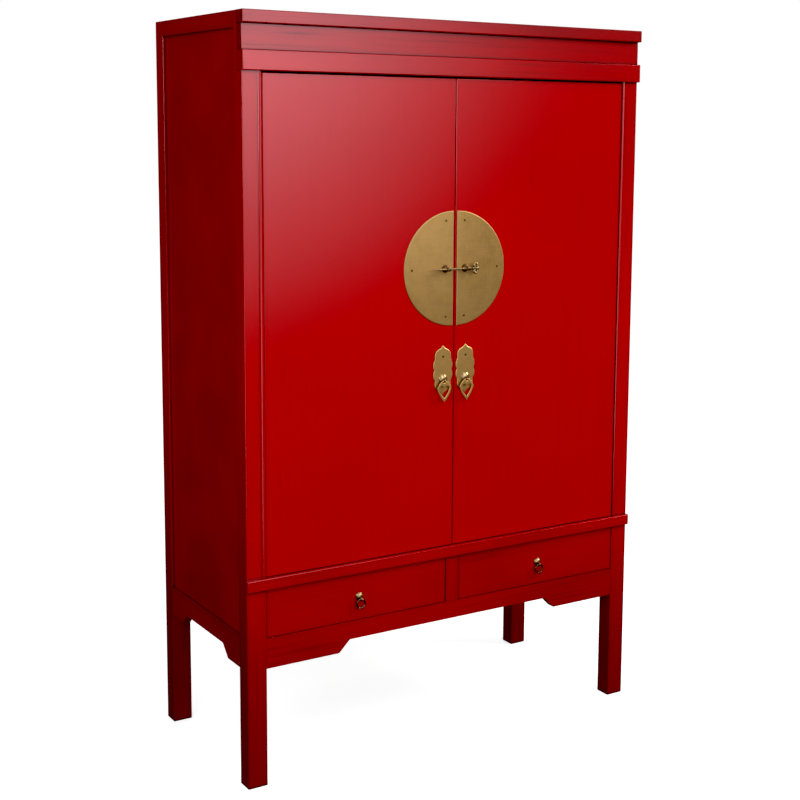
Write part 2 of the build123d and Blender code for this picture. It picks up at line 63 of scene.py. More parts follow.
# Lengths are in metres.
JOIN = 0.00002                 # vertices of the frame closer than this are one
FLAT = math.radians(0.6)       # faces that turn less than this are one face
SQUARE = math.radians(50)      # edges that turn more than this are eased
CRISP = math.radians(35)       # edges that turn more than this stay crisp when shaded
OUTSIDE = 0.0002               # how close to the outside of a board its own corner lies
EASE_STEPS = 2                 # faces across an eased edge
BEAD_STRIPS = 8                # faces across the round of a bead
PAST_BEAD = 0.6                # from the middle of a bead, in its widths, to the bare post
INWARDS = 0.7                  # how squarely a face looks inwards when it is left bare
PLANK_SPREAD = 40.0            # how far apart boards are cut from one pattern of grain
LACQUER_SEED = 11
WAX_SEED = 23

BODY_OF = {
    node: body
    for body, nodes in frame["record"]["behaviour"]["bodies"].items()
    for node in nodes
}
SIDES = {"left": -1, "right": 1}
BEADED = {"left_front_post": 1, "right_front_post": -1}     # the way each post looks at its door

# Boards by the finish they wear.
LACQUERED = {
    "lacquer_posts": ["left_front_post", "right_front_post", "left_back_post", "right_back_post"],
    "lacquer_high_boards": ["cornice", "frieze_board"],
    "lacquer_mouldings": [
        "head_rail", "waist_moulding", "waist_rail", "back_top_rail", "top_board",
    ],
    "lacquer_low_boards": [
        "front_apron", "back_bottom_rail", "left_drawer_front", "right_drawer_front",
    ],
    "lacquer_doors": ["left_door_leaf", "right_door_leaf"],
    "lacquer_panels": ["left_side_panel", "right_side_panel", "back_panel", "drawer_divider"],
    "lacquer_side_rails": [
        "left_side_apron", "right_side_apron", "left_side_top_rail", "right_side_top_rail",
    ],
    "lacquer_battens": ["left_door_battens", "right_door_battens"],
}
WAXED = {
    "waxed_across": [
        "cupboard_floor", "lower_shelf", "upper_shelf", "back_floor_rail",
        "left_drawer_back", "right_drawer_back",
    ],
    "waxed_deep": [
        "drawer_runners", "drawer_kickers", "shelf_cleats",
        "left_drawer_outer_side", "left_drawer_inner_side", "left_drawer_bottom",
        "right_drawer_outer_side", "right_drawer_inner_side", "right_drawer_bottom",
    ],
}
# Boards cut by mortises, sockets or bores, where only the outer corners are eased.
CUT_INTO = {
    "left_front_post", "right_front_post", "left_back_post", "right_back_post",
    "left_drawer_front", "right_drawer_front",
}
# Panels whose inner face is bare wood, and the way that face looks.
BARE_INSIDE = {
    "left_side_panel": Vector((1, 0, 0)),
    "right_side_panel": Vector((-1, 0, 0)),
    "back_panel": Vector((0, -1, 0)),
    "top_board": Vector((0, 0, -1)),
}
# Brass pieces of each side by the finish they wear.
BRASS_OF = {
    "lock_plate": "lock_plate_brass",
    "pull_plate": "pull_plate_brass",
    "pull_drop": "pull_plate_brass",
    "pull_boss": "cast_brass",
    "ring_boss": "cast_brass",
    "lock_stud": "browned_brass",
    "drawer_ring": "browned_brass",
    "door_pivots": "black_brass",
}

# How each lacquer is laid: the axis its grain runs along, how much dark glazing stays in the grain
# (streaks), in clouds and on edges, and how much painted shade darkens its corners, the whole board
# (shade), the feet and the head.
LACQUERS = {
    "lacquer_posts": dict(
        axis="z", streaks=0.30, clouds=0.06, edges=0.08, corners=0.8, feet=0.56, head=0.24
    ),
    "lacquer_high_boards": dict(
        axis="x", streaks=0.60, clouds=0.30, edges=0.10, corners=0.6, shade=0.33
    ),
    "lacquer_mouldings": dict(
        axis="x", streaks=0.30, clouds=0.20, edges=0.10, corners=0.5, shade=0.08
    ),
    "lacquer_low_boards": dict(
        axis="x", streaks=0.26, clouds=0.18, edges=0.10, corners=0.2, shade=0.10, feet=0.20
    ),
    "lacquer_doors": dict(
        axis="z", streaks=0.08, clouds=0.05, edges=0.08, corners=0.3, head=0.13
    ),
    "lacquer_panels": dict(
        axis="z", streaks=0.18, clouds=0.20, edges=0.18, corners=0.4, feet=0.24
    ),
    "lacquer_side_rails": dict(
        axis="y", streaks=0.30, clouds=0.16, edges=0.16, corners=0.4, feet=0.34
    ),
    "lacquer_battens": dict(axis="x", streaks=0.40, clouds=0.20, edges=0.20, corners=0.4),
}
# The axis that the grain of each waxed wood runs along.
WAXES = {"waxed_across": "x", "waxed_upright": "z", "waxed_deep": "y"}
# How each brass is aged. Its metal and its roughness are named settings of the brass finish.
BRASSES = {
    # The lock plates take painted shade, darker to the right and low down.
    "lock_plate_brass": dict(metal="brass", rough="brushing", rim=0.28, shade_right_and_low=True),
    "pull_plate_brass": dict(metal="pull", rough="brushing", rim=0.15),
    "cast_brass": dict(metal="cast", rough="polish", brush_axis="z", wear=0.5, dark=0.30),
    "browned_brass": dict(metal="umber", rough="polish", brush_axis="z", wear=0.5),
    "dark_brass": dict(metal="tarnish", rough="brushing", brush_axis="z", dark=0.35),
    "black_brass": dict(metal="tarnish", rough="dull", brush_axis="z", wear=0.0),
}


# ---- what a user may change -------------------------------------------------------------------


class LacquerFinish(bpy.types.PropertyGroup):
    """Colour, gloss and wear of the red lacquer, and the dark colour of its glazing and painted
    shade.
    """

    red: FloatVectorProperty(
        name="Red", description="Colour of the clean lacquer", subtype="COLOR", size=3,
        min=0.0, max=1.0, default=(0.60, 0.0, 0.0012),
    )
    # The dark colour serves both the real glazing in grain, clouds and edges and the painted shade
    # in corners, over whole boards, at the feet and at the head.
    glaze_and_shade: FloatVectorProperty(
        name="Dark glaze", description="Colour of the dark glaze left in grain, corners and edges",
        subtype="COLOR", size=3, min=0.0, max=1.0, default=(0.10, 0.0, 0.0),
    )
    gloss: FloatProperty(
        name="Roughness", description="Roughness of the polished lacquer", subtype="FACTOR",
        min=0.05, max=1.0, default=0.20,
    )
    sheen: FloatVectorProperty(
        name="Sheen", description="Colour of what the lacquer mirrors", subtype="COLOR", size=3,
        min=0.0, max=1.0, default=(1.0, 0.56, 0.60),
    )
    edge_width: FloatProperty(
        name="Edge glaze width", description="Width of the darker band along the edges of a board",
        unit="LENGTH", min=0.001, max=0.05, default=0.014,
    )


class BrassFinish(bpy.types.PropertyGroup):
    """Colour and brushing of the antique brass."""

    brass: FloatVectorProperty(
        name="Brass", description="Colour of the brushed brass", subtype="COLOR", size=3,
        min=0.0, max=1.0, default=(0.86, 0.525, 0.195),
    )
    bright: FloatVectorProperty(
        name="Worn brass", description="Colour of rims and high spots that hands keep bright",
        subtype="COLOR", size=3, min=0.0, max=1.0, default=(0.90, 0.66, 0.34),
    )
    pull: FloatVectorProperty(
        name="Pull brass", description="Colour of the pull plates and drops", subtype="COLOR",
        size=3, min=0.0, max=1.0, default=(1.0, 0.60, 0.212),
    )
    cast: FloatVectorProperty(
        name="Cast brass", description="Colour of the bosses and the lock pin", subtype="COLOR",
        size=3, min=0.0, max=1.0, default=(0.86, 0.62, 0.33),
    )
    umber: FloatVectorProperty(
        name="Dark brass", description="Colour of the studs and rings, darkened all over",
        subtype="COLOR", size=3, min=0.0, max=1.0, default=(0.20, 0.135, 0.078),
    )
    patina: FloatVectorProperty(
        name="Patina", description="Colour of the brown patina", subtype="COLOR", size=3,
        min=0.0, max=1.0, default=(0.30, 0.165, 0.046),
    )
    tarnish: FloatVectorProperty(
        name="Tarnish", description="Colour of the black tarnish where pieces meet",
        subtype="COLOR", size=3, min=0.0, max=1.0, default=(0.030, 0.018, 0.008),
    )
    brushing: FloatProperty(
        name="Brushed roughness", description="Roughness of the brushed plates",
        subtype="FACTOR", min=0.05, max=1.0, default=0.48,
    )
    polish: FloatProperty(
        name="Polished roughness", description="Roughness of the turned and cast pieces",
        subtype="FACTOR", min=0.05, max=1.0, default=0.32,
    )
    dull: FloatProperty(
        name="Dull roughness", description="Roughness of the blackened door pivots",
        subtype="FACTOR", min=0.05, max=1.0, default=0.7,
    )


class WoodFinish(bpy.types.PropertyGroup):
    """Colours of the waxed wood inside."""

    light: FloatVectorProperty(
        name="Light wood", description="Early wood between the grain lines", subtype="COLOR",
        size=3, min=0.0, max=1.0, default=(0.42, 0.24, 0.12),
    )
    dark: FloatVectorProperty(
        name="Dark wood", description="Grain lines and pores", subtype="COLOR",
        size=3, min=0.0, max=1.0, default=(0.20, 0.10, 0.045),
    )


class JoinerySizes(bpy.types.PropertyGroup):
    """How far edges are eased, and the sizes of the beads and nails."""

    board_ease: FloatProperty(
        name="Board edges", description="Width of the eased edges of lacquered boards",
        unit="LENGTH", min=0.0001, max=0.003, default=0.0011,
    )
    inside_ease: FloatProperty(
        name="Inside edges", description="Width of the eased edges of boards inside",
        unit="LENGTH", min=0.0001, max=0.003, default=0.0006,
    )
    bead_width: FloatProperty(
        name="Bead width", description="Width of the bead beside each door",
        unit="LENGTH", min=0.002, max=0.03, default=0.0105,
    )
    bead_shoulder: FloatProperty(
        name="Bead shoulder", description="Height at which the round of the bead begins",
        unit="LENGTH", min=0.0, max=0.003, default=0.0006,
    )
    nail_radius: FloatProperty(
        name="Nail head radius", description="Radius of the domed heads that hold the brass",
        unit="LENGTH", min=0.0005, max=0.006, default=0.0028,
    )


class StudioLight(bpy.types.PropertyGroup):
    """Floor and lamps of the plain studio."""

    floor: FloatVectorProperty(
        name="Floor", description="Colour of the pale floor", subtype="COLOR", size=3,
        min=0.0, max=1.0, default=(0.90, 0.90, 0.90),
    )
    key_power: FloatProperty(
        name="Key lamp", description="Power of the lamp high at the right", min=0.0,
        max=2000.0, default=92.0,
    )
    front_power: FloatProperty(
        name="Front lamp", description="Power of the soft lamp at the front", min=0.0,
        max=2000.0, default=38.0,
    )
    fill_power: FloatProperty(
        name="Fill lamp", description="Power of the soft lamp at the left", min=0.0,
        max=2000.0, default=14.0,
    )
    low_power: FloatProperty(
        name="Low lamp", description="Power of the low lamp before the left door", min=0.0,
        max=2000.0, default=4.0,
    )
    top_power: FloatProperty(
        name="Overhead lamp", description="Power of the lamp above the front of the cabinet",
        min=0.0, max=2000.0, default=7.0,
    )


# ---- pieces -----------------------------------------------------------------------------------


def smooth_and_sharp(bm):
    """Shade smoothly, and keep the edges crisp that are not eased."""
    for face in bm.faces:
        face.smooth = True
    for edge in bm.edges:
        edge.smooth = len(edge.link_faces) == 2 and edge.calc_face_angle(0.0) < CRISP


def finish_piece(name, bm, materials, body, replaces=()):
    """A shape as a piece of the cabinet, its object at the origin and its place in its mesh."""
    mesh = bpy.data.meshes.new(name)
    bm.to_mesh(mesh)
    bm.free()
    for material in materials:
        mesh.materials.append(material)
    piece = bpy.data.objects.new(name, mesh)
    bpy.context.scene.collection.objects.link(piece)
    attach(piece, body)
    if replaces:
        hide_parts(*replaces)
    return piece


def mark_board(piece, node, draw):
    """Store where a board ends and which plank it was cut from, for its finish to read."""
    low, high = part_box(node)
    cut = Vector([draw.uniform(0, PLANK_SPREAD) for _ in range(3)])
    for label, value in (("board_low", low), ("board_high", high), ("board_cut", cut)):
        layer = piece.data.attributes.new(label, "FLOAT_VECTOR", "POINT")
        layer.data.foreach_set("vector", list(value) * len(piece.data.vertices))


def is_outer_corner(edge, low, high):
    """True where both ends of an edge lie on the same two outer faces of the board's box."""
    shared = 0
    for axis in range(3):
        for side in (low, high):
            if all(abs(end.co[axis] - side[axis]) < OUTSIDE for end in edge.verts):
                shared += 1
    return shared >= 2


def eased_shape(node, ease):
    """A copy of a board of the frame, its faces joined and its square edges eased."""
    bm = bmesh.new()
    bm.from_mesh(frame["nodes"][node].data)
    bmesh.ops.remove_doubles(bm, verts=bm.verts, dist=JOIN)
    bmesh.ops.dissolve_limit(bm, angle_limit=FLAT, verts=bm.verts, edges=bm.edges)
    square = [
        edge for edge in bm.edges
        if len(edge.link_faces) == 2 and edge.is_convex and edge.calc_face_angle(0.0) > SQUARE
    ]
    if node in CUT_INTO:
        low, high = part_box(node)
        square = [edge for edge in square if is_outer_corner(edge, low, high)]
    bmesh.ops.bevel(
        bm, geom=square, offset=ease, offset_type="OFFSET", segments=EASE_STEPS, profile=0.5,
        affect="EDGES", clamp_overlap=False, material=-1,
    )
    smooth_and_sharp(bm)
    return bm


def round_bead(bm, node, width, shoulder):
    """Work the flat bead beside the door into a low round one, inside its own outline."""
    low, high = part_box(node)
    door_side = high.x if BEADED[node] > 0 else low.x
    middle = door_side - BEADED[node] * width / 2
    post_face = min(v.co.y for v in bm.verts if abs(v.co.x - middle) > PAST_BEAD * width)
    for number in range(1, BEAD_STRIPS):
        cut = middle + width * (number / BEAD_STRIPS - 0.5)
        ahead = [face for face in bm.faces if max(v.co.y for v in face.verts) < post_face + JOIN]
        edges = dict.fromkeys(edge for face in ahead for edge in face.edges)
        verts = dict.fromkeys(vert for face in ahead for vert in face.verts)
        bmesh.ops.bisect_plane(
            bm, geom=[*ahead, *edges, *verts], dist=JOIN / 4,
            plane_co=(cut, 0.0, 0.0), plane_no=(1.0, 0.0, 0.0),
        )
    rise = post_face - low.y
    for vert in bm.verts:
        if vert.co.y < post_face - JOIN:
            across = min(1.0, abs(vert.co.x - middle) / (width / 2))
            vert.co.y = post_face - shoulder - (rise - shoulder) * (1.0 - across * across)


def board(node, material, ease, draw, inside=None):
    """One board of the cabinet with eased edges, in place of its plain solid."""
    bm = eased_shape(node, ease)
    if node in BEADED:
        joinery = bpy.context.scene.cabinet_joinery
        round_bead(bm, node, joinery.bead_width, joinery.bead_shoulder)
        smooth_and_sharp(bm)
    materials = [material]
    if inside:
        materials.append(inside)
        for face in bm.faces:
            if face.normal.dot(BARE_INSIDE[node]) > INWARDS:
                face.material_index = 1
    piece = finish_piece(node + "_board", bm, materials, BODY_OF[node], [node])
    mark_board(piece, node, draw)
    even = piece.modifiers.new("even_shading", "WEIGHTED_NORMAL")
    even.keep_sharp = True


# ---- finishes ---------------------------------------------------------------------------------


class Texture(NamedTuple):
    """A noise: features in a metre, its detail and roughness, and how it is drawn and cut."""

    scale: float
    detail: float
    roughness: float
    drawn: float = 1.0         # stretch along the grain; smaller is longer
    low: float = 0.0           # below this it doesn't show
    high: float = 1.0          # above this it shows in full


FINE_GRAIN = Texture(210.0, 3.0, 0.6, 0.018, 0.42, 0.72)
BROAD_GRAIN = Texture(46.0, 3.0, 0.6, 0.05, 0.40, 0.70)
GRAIN_PATCHES = Texture(3.1, 2.0, 0.55, 1.0, 0.35, 0.65)
GLAZE_CLOUDS = Texture(5.0, 2.0, 0.5, 1.0, 0.30, 0.72)
RAGGED_EDGE = Texture(60.0, 4.0, 0.6, 0.25)
ORANGE_PEEL = Texture(900.0, 2.0, 0.5)
GROWTH_RINGS = Texture(3.0, 2.0, 0.5, 0.25)
FIBRES = Texture(420.0, 3.0, 0.6, 0.012, 0.52, 0.72)
BRUSHING = Texture(1500.0, 3.0, 0.6, 0.015)
CROSS_BRUSHING = Texture(1100.0, 2.0, 0.5, 0.02)
BROWN_CLOUDS = Texture(26.0, 4.0, 0.6, 1.0, 0.38, 0.68)
BROWN_SPECKS = Texture(240.0, 4.0, 0.65, 1.0, 0.58, 0.74)
FLOOR_MOTTLE = Texture(2.0, 2.0, 0.55, 1.0, 0.3, 0.7)

EVEN = (1.0, 1.0, 1.0)
CLOUD_STRETCH = (0.5, 1.0, 1.2)
WHITE = (1.0, 1.0, 1.0, 1.0)
BLACK = (0.0, 0.0, 0.0, 1.0)

# Where each mask of the lacquer is full, then where it has faded out.
EDGE_FADE = (0.35, 1.5)        # in widths of the edge glaze
EDGE_RAGGED = 0.9              # how far the dark edge band wanders, in its widths
CORNER_REACH = 0.008           # how near a corner the painted shade begins
CORNER_FADE = (0.45, 0.98)     # in shares of the open sky
FOOT_HEIGHT = 0.05             # up to here the painted shade of the feet is full
FOOT_END_ON_SIDES = 1.02       # height at which it ends, on side faces
FOOT_END_ON_FRONT = 0.62       # and on faces that look ahead
FOOT_DARK_ON_SIDES = 1.2       # how much darker the painted shade of the feet is on side faces than on front faces
HEAD_RISE = (1.0, 1.66)        # heights where the painted shade of the head begins and is full
STREAKS_IN_PATCHES = (0.45, 1.25)      # how strong the streaks are outside patches and in them
GLAZE_ROUGHENS = 0.06
GRAIN_RELIEF, PEEL_RELIEF = 0.5, 0.12
LACQUER_RELIEF = {"Strength": 0.10, "Distance": 0.0003}
LACQUER_IOR = 1.65

RING_COUNT = 13.0              # growth rings from the lowest to the highest of their texture
RING_TONE, PORE_TONE = 0.45, 0.5
WAX_ROUGHNESS, PORE_ROUGHENS = 0.46, 0.18
WOOD_RELIEF = {"Strength": 0.25, "Distance": 0.0003}

BRASS_CORNER_REACH = 0.009
GRIME_FADE = (0.45, 0.95)      # brown of the corners, in shares of the open sky
BLACK_FADE = (0.30, 0.88)      # black where pieces meet
BLACKEST = 0.95
BRUSH_SHARE, CROSS_SHARE = 0.6, 0.4
LINE_RANGE = (0.38, 0.66)
# How brown the clouds, specks, brush lines and corners are.
CLOUD_BROWN, SPECK_BROWN, LINE_BROWN, CORNER_BROWN = 0.13, 0.16, 0.14, 0.60
AWAY_RANGE, AWAY_SHADE = (-0.03, 0.07), 0.36      # painted shade across the lock plates, darker to the right
BELOW_RANGE, BELOW_SHADE = (1.06, 1.24), 0.26     # painted shade up the lock plates, darker at their foot
SLOPE_FADE = (0.80, 0.97)      # how squarely a face looks ahead: all rim, then none
BROWN_ROUGHENS, CLEAN_SMOOTHS, RIM_ROUGHENS = 0.14, 0.04, 0.3
BRASS_RELIEF = {"Strength": 0.16, "Distance": 0.0001}


class Recipe:
    """Builds the nodes of a material or a world; each call adds nodes and joins their inputs."""

    def __init__(self, owner):
        self.owner = owner
        owner.use_nodes = True
        self.nodes = owner.node_tree.nodes
        self.links = owner.node_tree.links
        self.nodes.clear()

    def add(self, kind, inputs=None, **settings):
        """One node, with its settings, its constant inputs and its linked ones."""
        node = self.nodes.new("ShaderNode" + kind)
        for key, value in settings.items():
            setattr(node, key, value)
        for key, value in (inputs or {}).items():
            if isinstance(value, bpy.types.NodeSocket):
                self.links.new(value, node.inputs[key])
            else:
                node.inputs[key].default_value = value
        return node

    def math(self, operation, first, second=0.0, third=0.0, clamp=False):
        """A sum on up to three numbers."""
        return self.add(
            "Math", {0: first, 1: second, 2: third}, operation=operation, use_clamp=clamp
        ).outputs[0]

    def vector(self, operation, first, second):
        """A sum on two vectors."""
        return self.add("VectorMath", {0: first, 1: second}, operation=operation).outputs[0]

    def spread(self, value, low, high, to_low=0.0, to_high=1.0, curve="SMOOTHSTEP"):
        """Stretch a value from one range onto another."""
        ends = {"From Min": low, "From Max": high, "To Min": to_low, "To Max": to_high}
        return self.add("MapRange", {"Value": value, **ends}, interpolation_type=curve).outputs[0]

    def fade(self, value, full, gone, most=1.0):
        """A mask that is at its most up to one value and fades out towards another."""
        return self.spread(value, full, gone, most, 0.0)

    def noise(self, texture, place, stretch=EVEN):
        """The raw value of a texture."""
        stretched = self.vector("MULTIPLY", place, stretch)
        pattern = {
            "Scale": texture.scale, "Detail": texture.detail, "Roughness": texture.roughness,
        }
        return self.add("TexNoise", {"Vector": stretched, **pattern}).outputs["Fac"]

    def grained(self, texture, place, axis):
        """The raw value of a texture drawn out along an axis."""
        stretch = tuple(texture.drawn if name == axis else 1.0 for name in "xyz")
        return self.noise(texture, place, stretch)

    def cut_to_range(self, texture, value):
        """The part of a texture that shows."""
        return self.spread(value, texture.low, texture.high)

    def mix(self, share, first, second):
        """A colour between two others. The inputs 6 and 7 of a mix are its colours."""
        return self.add("Mix", {0: share, 6: first, 7: second}, data_type="RGBA").outputs[2]

    def attribute(self, label):
        """What a board has stored under a label."""
        return self.add("Attribute", attribute_name=label).outputs["Vector"]

    def place(self):
        """Where a point is on the cabinet."""
        return self.add("TexCoord").outputs["Object"]

    def on_plank(self, place):
        """A place on the plank that a board was cut from."""
        return self.vector("ADD", place, self.attribute("board_cut"))

    def open_sky(self, reach):
        """How open a point is: small in corners and where pieces meet."""
        return self.add("AmbientOcclusion", {"Distance": reach}, samples=8).outputs["AO"]

    def ahead(self):
        """How squarely a face looks to the front or to the back."""
        normal = self.add("TexCoord").outputs["Normal"]
        return self.math("ABSOLUTE", self.add("SeparateXYZ", {0: normal}).outputs["Y"])

    def surface(self, colour, roughness, height, relief, **rest):
        """The finished material. The rest are sockets of the shader, with _ for a space."""
        bump = self.add("Bump", {**relief, "Height": height}).outputs[0]
        inputs = {"Base Color": colour, "Roughness": roughness, "Normal": bump}
        inputs.update({label.replace("_", " "): value for label, value in rest.items()})
        return self.done(self.add("BsdfPrincipled", inputs))

    def done(self, shader, output="OutputMaterial"):
        """The material or the world, with its shader joined to its output."""
        self.add(output, {"Surface": shader.outputs[0]})
        return self.owner


def opaque(colour):
    """A colour with full alpha."""
    return (*colour, 1.0)


def to_edge(recipe, place):
    """Distance from a point on a board to the nearest edge of that board."""
    from_low = recipe.vector("SUBTRACT", place, recipe.attribute("board_low"))
    from_high = recipe.vector("SUBTRACT", recipe.attribute("board_high"), place)
    nearest = recipe.vector("MINIMUM", from_low, from_high)
    x, y, z = recipe.add("SeparateXYZ", {0: nearest}).outputs
    smaller = recipe.math("MINIMUM", x, y)
    larger = recipe.math("MAXIMUM", x, y)
    return recipe.math("MAXIMUM", smaller, recipe.math("MINIMUM", larger, z))


def foot_mask(recipe, height, ahead):
    """Painted shade towards the feet, reaching higher up and darker on the faces that look sideways.
    """
    lower = FOOT_END_ON_FRONT - FOOT_END_ON_SIDES
    end = recipe.math("MULTIPLY_ADD", ahead, lower, FOOT_END_ON_SIDES)
    dark = recipe.math("MULTIPLY_ADD", ahead, 1.0 - FOOT_DARK_ON_SIDES, FOOT_DARK_ON_SIDES)
    return recipe.math("MULTIPLY", recipe.fade(height, FOOT_HEIGHT, end), dark)


def lacquer(name, axis, streaks, clouds, edges, corners, shade=0.0, feet=0.0, head=0.0):
    """Red lacquer over wood, with dark glazing rubbed into its grain and edges, and painted shade in
    its corners, over whole boards, towards the feet and towards the head.
    """
    finish = bpy.context.scene.cabinet_lacquer
    recipe = Recipe(bpy.data.materials.new(name))
    place = recipe.place()
    plank = recipe.on_plank(place)

    cloud = recipe.cut_to_range(GLAZE_CLOUDS, recipe.noise(GLAZE_CLOUDS, plank, CLOUD_STRETCH))
    fine = recipe.cut_to_range(FINE_GRAIN, recipe.grained(FINE_GRAIN, plank, axis))
    broad = recipe.cut_to_range(BROAD_GRAIN, recipe.grained(BROAD_GRAIN, plank, axis))
    patches = recipe.cut_to_range(GRAIN_PATCHES, recipe.noise(GRAIN_PATCHES, plank))

    ragged = recipe.grained(RAGGED_EDGE, plank, axis)
    distance = recipe.math("DIVIDE", to_edge(recipe, place), finish.edge_width)
    uneven = recipe.math("ADD", distance, recipe.math("MULTIPLY", ragged, EDGE_RAGGED))
    edge = recipe.fade(uneven, *EDGE_FADE)
    # Painted shade in corners and where pieces meet, darkest where little open sky reaches.
    corner_shade_and_patina = recipe.fade(recipe.open_sky(CORNER_REACH), *CORNER_FADE)
    height = recipe.add("SeparateXYZ", {0: place}).outputs["Z"]
    ahead = recipe.ahead()
    # Painted shade towards the feet.
    low = foot_mask(recipe, height, ahead)
    # Painted shade high up on the faces that look ahead, under the head.
    high = recipe.math("MULTIPLY", recipe.spread(height, *HEAD_RISE), ahead)

    # The dark sum adds the real glazing of grain, clouds and edges to the painted shade of whole
    # boards, feet, head and corners.
    grain = recipe.math("MULTIPLY", recipe.math("MULTIPLY", fine, broad), streaks)
    grain = recipe.math("MULTIPLY", grain, recipe.spread(patches, 0.0, 1.0, *STREAKS_IN_PATCHES))
    # The painted shade over the whole board joins the glazing of clouds and grain here.
    glaze_and_shade = recipe.math("MULTIPLY_ADD", cloud, clouds, recipe.math("ADD", grain, shade))
    glaze_and_shade = recipe.math("MULTIPLY_ADD", edge, edges, glaze_and_shade)
    glaze_and_shade = recipe.math("MULTIPLY_ADD", low, feet, glaze_and_shade)
    glaze_and_shade = recipe.math("MULTIPLY_ADD", high, head, glaze_and_shade)
    glaze_and_shade = recipe.math("MULTIPLY_ADD", corner_shade_and_patina, corners, glaze_and_shade, clamp=True)

    colour = recipe.mix(glaze_and_shade, opaque(finish.red), opaque(finish.glaze_and_shade))
    roughness = recipe.math("MULTIPLY_ADD", glaze_and_shade, GLAZE_ROUGHENS, finish.gloss)
    peel = recipe.math("MULTIPLY", recipe.noise(ORANGE_PEEL, plank), PEEL_RELIEF)
    relief = recipe.math("MULTIPLY_ADD", fine, GRAIN_RELIEF, peel)
    return recipe.surface(
        colour, roughness, relief, LACQUER_RELIEF,
        IOR=LACQUER_IOR, Specular_IOR_Level=1.0, Specular_Tint=opaque(finish.sheen),
    )


def waxed_wood(name, axis):
    """Bare wood, waxed, with its grain along one axis."""
    finish = bpy.context.scene.cabinet_wood
    recipe = Recipe(bpy.data.materials.new(name))
    plank = recipe.on_plank(recipe.place())
    sway = recipe.grained(GROWTH_RINGS, plank, axis)
    ring = recipe.math("FRACT", recipe.math("MULTIPLY", sway, RING_COUNT))
    ring = recipe.spread(ring, 0.0, 1.0)
    fibre = recipe.grained(FIBRES, plank, axis)
    pores = recipe.cut_to_range(FIBRES, fibre)
    pore_tone = recipe.math("MULTIPLY", pores, PORE_TONE)
    tone = recipe.math("MULTIPLY_ADD", ring, RING_TONE, pore_tone, clamp=True)
    colour = recipe.mix(tone, opaque(finish.light), opaque(finish.dark))
    roughness = recipe.math("MULTIPLY_ADD", pores, PORE_ROUGHENS, WAX_ROUGHNESS)
    return recipe.surface(colour, roughness, fibre, WOOD_RELIEF)


def aged_brass(name, metal, rough, brush_axis="x", wear=1.0, rim=0.0, dark=0.0, shade_right_and_low=False):
    """Brass brushed along one axis, turned brown where hands do not rub it and bright at its rims;
    the lock plates also take painted shade to the right and low down.
    """
    finish = bpy.context.scene.cabinet_brass
    recipe = Recipe(bpy.data.materials.new(name))
    place = recipe.place()
    brushed = recipe.grained(BRUSHING, place, brush_axis)
    crossed = recipe.grained(CROSS_BRUSHING, place, "z" if brush_axis == "x" else "x")
    clouds = recipe.cut_to_range(BROWN_CLOUDS, recipe.noise(BROWN_CLOUDS, place))
    specks = recipe.cut_to_range(BROWN_SPECKS, recipe.noise(BROWN_SPECKS, place))
    sky = recipe.open_sky(BRASS_CORNER_REACH)
    corner_shade_and_patina = recipe.fade(sky, *GRIME_FADE)
    black = recipe.fade(sky, *BLACK_FADE, BLACKEST)

    brushed = recipe.math("MULTIPLY", brushed, BRUSH_SHARE)
    lines = recipe.math("MULTIPLY_ADD", crossed, CROSS_SHARE, brushed)
    shown_lines = recipe.spread(lines, *LINE_RANGE)
    brown = recipe.math("MULTIPLY", clouds, CLOUD_BROWN * wear)
    brown = recipe.math("MULTIPLY_ADD", specks, SPECK_BROWN * wear, brown)
    brown = recipe.math("MULTIPLY_ADD", shown_lines, LINE_BROWN, brown)
    brown = recipe.math("MULTIPLY_ADD", corner_shade_and_patina, CORNER_BROWN, brown)
    # Painted shade on the lock plates: darker across to the right-hand plate and towards their foot.
    if shade_right_and_low:
        x, _, z = recipe.add("SeparateXYZ", {0: place}).outputs
        away = recipe.spread(x, *AWAY_RANGE, 0.0, AWAY_SHADE)
        below = recipe.fade(z, *BELOW_RANGE, BELOW_SHADE)
        brown = recipe.math("ADD", brown, recipe.math("MAXIMUM", away, below))
    brown = recipe.math("ADD", brown, dark, clamp=True)

    sloping = recipe.fade(recipe.ahead(), *SLOPE_FADE)
    colour = recipe.mix(brown, opaque(getattr(finish, metal)), opaque(finish.patina))
    colour = recipe.mix(recipe.math("MULTIPLY", sloping, rim), colour, opaque(finish.bright))
    colour = recipe.mix(black, colour, opaque(finish.tarnish))
    smooth = getattr(finish, rough) - CLEAN_SMOOTHS
    roughness = recipe.math("MULTIPLY_ADD", brown, BROWN_ROUGHENS, smooth)
    roughness = recipe.math("MULTIPLY_ADD", sloping, RIM_ROUGHENS * rim, roughness)
    return recipe.surface(colour, roughness, lines, BRASS_RELIEF, Metallic=1.0)


def made_finish(name):
    """A finish by name, made the first time it is asked for."""
    found = bpy.data.materials.get(name)
    if found:
        return found
    if name in LACQUERS:
        return lacquer(name, **LACQUERS[name])
    if name in WAXES:
        return waxed_wood(name, WAXES[name])
    return aged_brass(name, **BRASSES[name])


# ---- operators, one for each group of like pieces ---------------------------------------------


class CABINET_OT_boards(bpy.types.Operator):
    """Ease the edges of every lacquered board and lay the red lacquer on it"""

    bl_idname = "cabinet.boards"
    bl_label = "Lacquered boards"

    def execute(self, context):
        draw = random.Random(LACQUER_SEED)
        ease = context.scene.cabinet_joinery.board_ease
        for finish, nodes in LACQUERED.items():
            for node in nodes:
                inside = made_finish("waxed_upright") if node in BARE_INSIDE else None
                board(node, made_finish(finish), ease, draw, inside)
        return {"FINISHED"}


